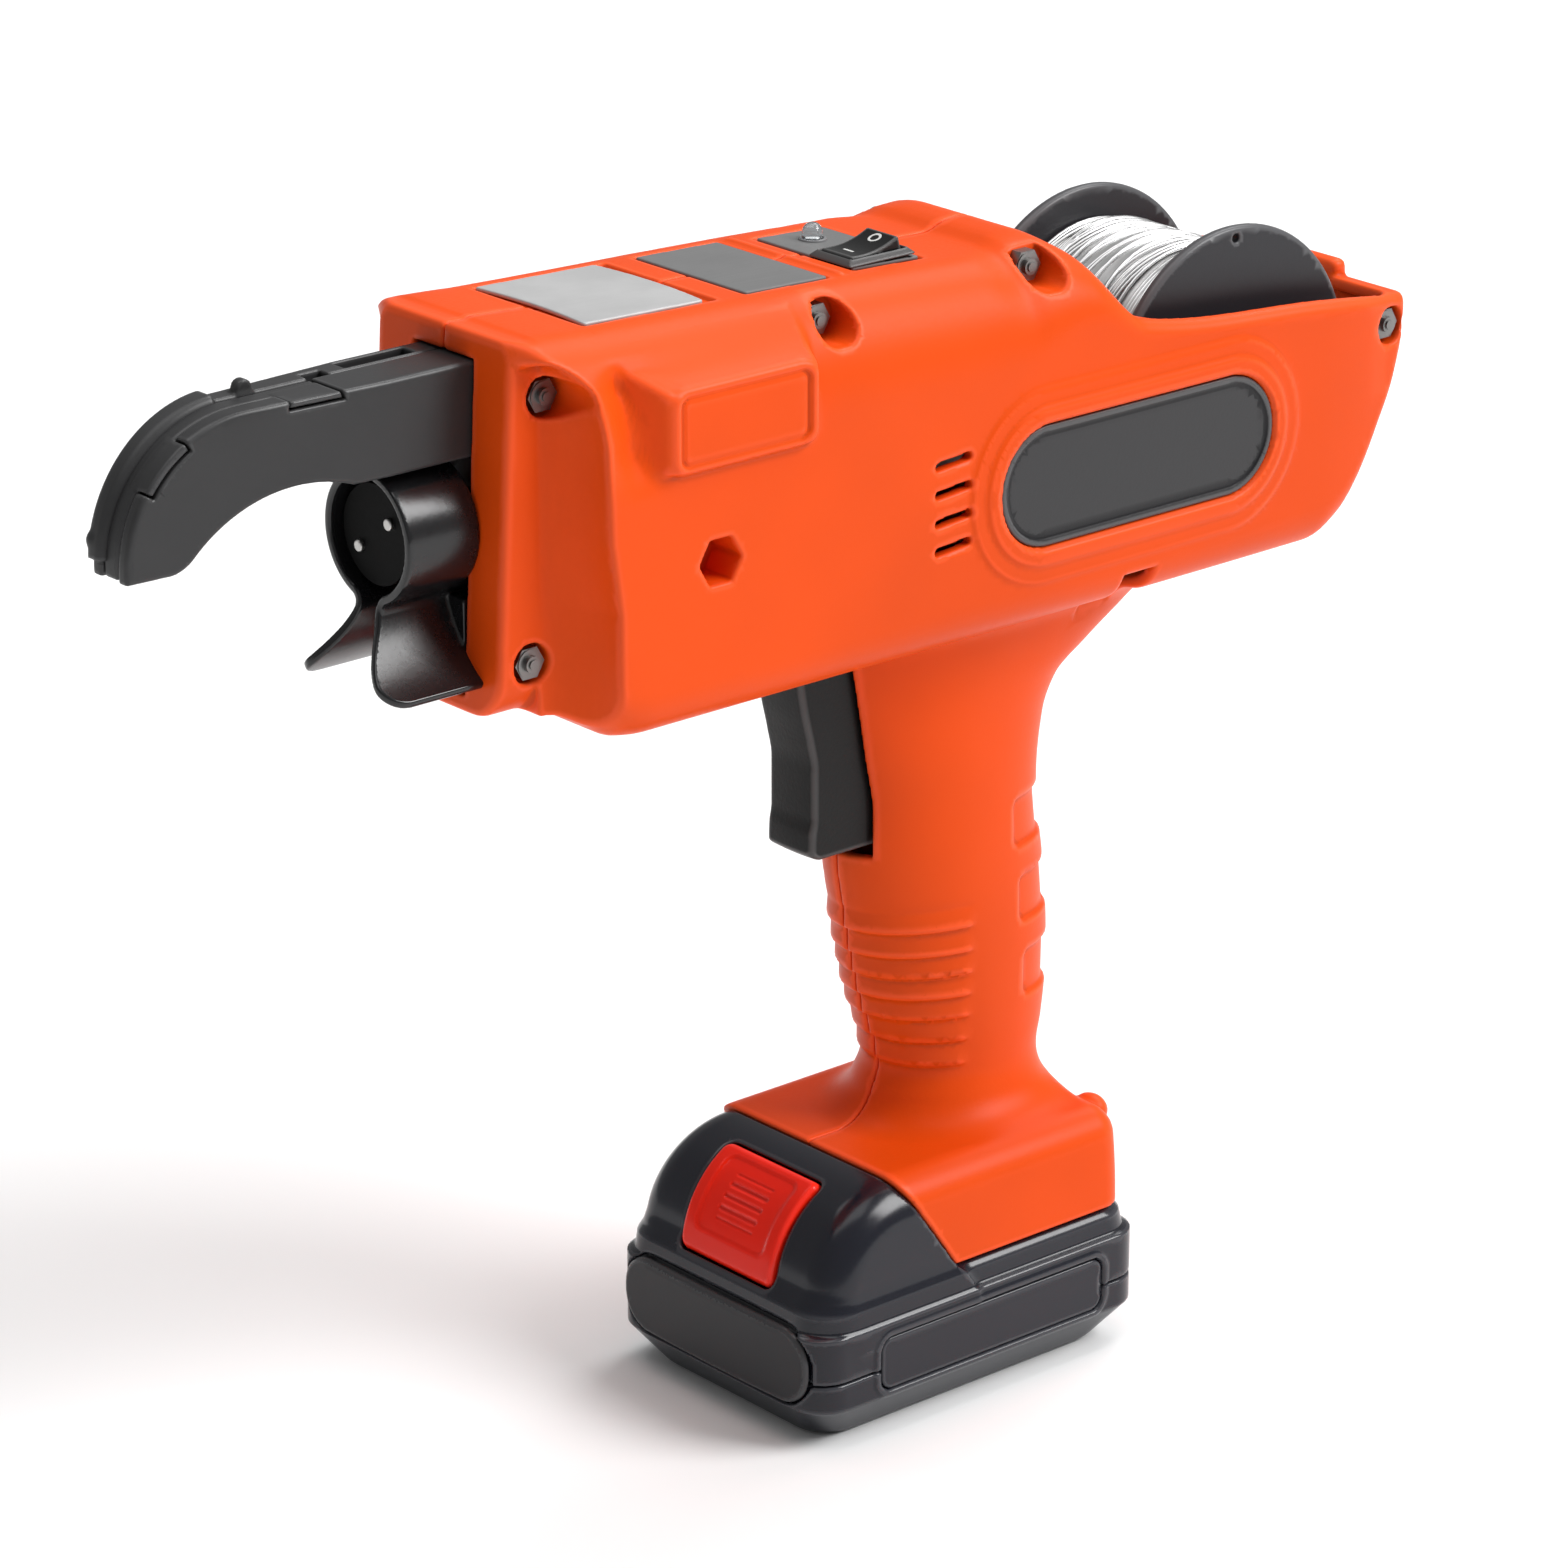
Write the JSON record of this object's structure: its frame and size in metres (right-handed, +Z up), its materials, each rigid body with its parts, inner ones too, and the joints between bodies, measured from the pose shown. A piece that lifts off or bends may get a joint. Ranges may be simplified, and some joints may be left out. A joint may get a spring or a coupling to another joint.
{
  "type": "rebar tying tool",
  "caption": "Cordless gun-shaped tool that feeds wire from a spool round crossed bars through a hooked claw, cuts it and twists the tie, with a slide-on battery.",
  "frame": {"origin": "middle of the battery's flat underside", "axes": "+Z up, the claw points to -X, the spool end is +X, the side in the picture is -Y"},
  "size_m": [0.2777, 0.064, 0.2245],
  "materials": {
    "orange_plastic": "satin, fine grain",
    "black_steel": "satin black",
    "black_plastic": "satin",
    "charcoal_plastic": "semi-gloss",
    "spool_plastic": "satin",
    "red_plastic": "gloss",
    "wire_steel": "bright drawn wire",
    "steel": "zinc",
    "cast_alloy": "cast",
    "cell_wrap": null,
    "brass": "plain",
    "board": "solder mask",
    "badge": "brushed, bare",
    "grey_plate": "bare",
    "lamp": "clear"
  },
  "bodies": {
    "tool": {"left_shell": "orange_plastic", "right_shell": "orange_plastic", "front_frame": "cast_alloy", "claw_near_plate": "black_steel", "claw_far_plate": "black_steel", "wire_guard": "black_steel", "claw_track": "steel", "claw_rivets": "steel", "twist_bearing": "steel", "twist_gearbox": "steel", "twist_motor": "steel", "wire_tube": "steel", "cutter_die": "steel", "feed_bracket": "steel", "feed_gearbox": "steel", "feed_motor": "steel", "spool_axle": "steel", "brake_pin": "steel", "shell_screws": "steel", "shell_nuts": "steel", "trigger_pin": "steel", "trigger_spring": "steel", "wire_eyelet": "brass", "tool_contacts": "brass", "control_board": "board", "board_parts": "black_plastic", "rocker_bezel": "black_plastic", "trigger_switch": "black_plastic", "terminal_block": "black_plastic", "name_plates": "black_plastic", "badge_plate": "badge", "rating_plate": "grey_plate", "switch_plate": "grey_plate", "status_led": "lamp"},
    "twister": {"twist_head": "black_steel", "twist_hooks": "steel"},
    "cutter": {"cutter_blade": "steel"},
    "feed_roller": {"feed_drive": "steel", "feed_drive_gear": "brass"},
    "idler_roller": {"feed_idler": "steel", "feed_idler_gear": "brass"},
    "spool": {"spool": "spool_plastic", "wire_core": "wire_steel", "wire_winding": "wire_steel"},
    "brake": {"brake_lever": "steel"},
    "rocker": {"rocker": "black_plastic"},
    "trigger": {"trigger": "black_plastic"},
    "battery": {"battery_tray": "charcoal_plastic", "battery_cover": "charcoal_plastic", "battery_cells": "cell_wrap", "cell_links": "steel", "battery_contacts": "brass", "battery_front_plate": "black_plastic", "battery_side_plates": "black_plastic", "battery_screws": "steel", "latch_spring": "steel"},
    "latch": {"latch_button": "red_plastic"}
  },
  "joints": [
    {"name": "twister_spin", "type": "hinge", "parent": "tool", "child": "twister", "pos_m": [-0.1, 0, 0.1885], "axis": [1, 0, 0], "continuous": true},
    {"name": "cutter_slide", "type": "slide", "parent": "tool", "child": "cutter", "axis": [0, 1, 0], "range_m": [0, 0.0026], "stiffness_N_per_m": 800, "springref_m": -0.001},
    {"name": "feed_spin", "type": "hinge", "parent": "tool", "child": "feed_roller", "pos_m": [0.019, 0.007, 0.21], "axis": [0, 0, 1], "continuous": true},
    {"name": "idler_spin", "type": "hinge", "parent": "tool", "child": "idler_roller", "pos_m": [0.019, -0.007, 0.21], "axis": [0, 0, 1], "continuous": true},
    {"name": "spool_spin", "type": "hinge", "parent": "tool", "child": "spool", "pos_m": [0.068, 0, 0.184], "axis": [0, 1, 0], "continuous": true},
    {"name": "brake_release", "type": "hinge", "parent": "tool", "child": "brake", "pos_m": [0.0402, -0.0196, 0.157], "axis": [0, -1, 0], "range_deg": [0, 6], "stiffness_Nm_per_rad": 0.2, "springref_deg": -5.73},
    {"name": "rocker_tilt", "type": "hinge", "parent": "tool", "child": "rocker", "pos_m": [-0.0123, -0.0075, 0.21975], "axis": [0, 1, 0], "range_deg": [0, 20]},
    {"name": "trigger_pull", "type": "hinge", "parent": "tool", "child": "trigger", "pos_m": [-0.006, 0, 0.1445], "axis": [0, -1, 0], "range_deg": [0, 7], "stiffness_Nm_per_rad": 0.6, "springref_deg": -8.59, "deforming": ["trigger_spring"]},
    {"name": "battery_slide", "type": "slide", "parent": "tool", "child": "battery", "axis": [-1, 0, 0], "range_m": [0, 0.06]},
    {"name": "latch_press", "type": "slide", "parent": "battery", "child": "latch", "axis": [0.7826, 0, -0.6225], "range_m": [0, 0.002], "stiffness_N_per_m": 1500, "springref_m": -0.002, "deforming": ["latch_spring"]}
  ],
  "couplings": [
    {"joint": "idler_spin", "follows": "feed_spin", "ratio": -1}
  ]
}
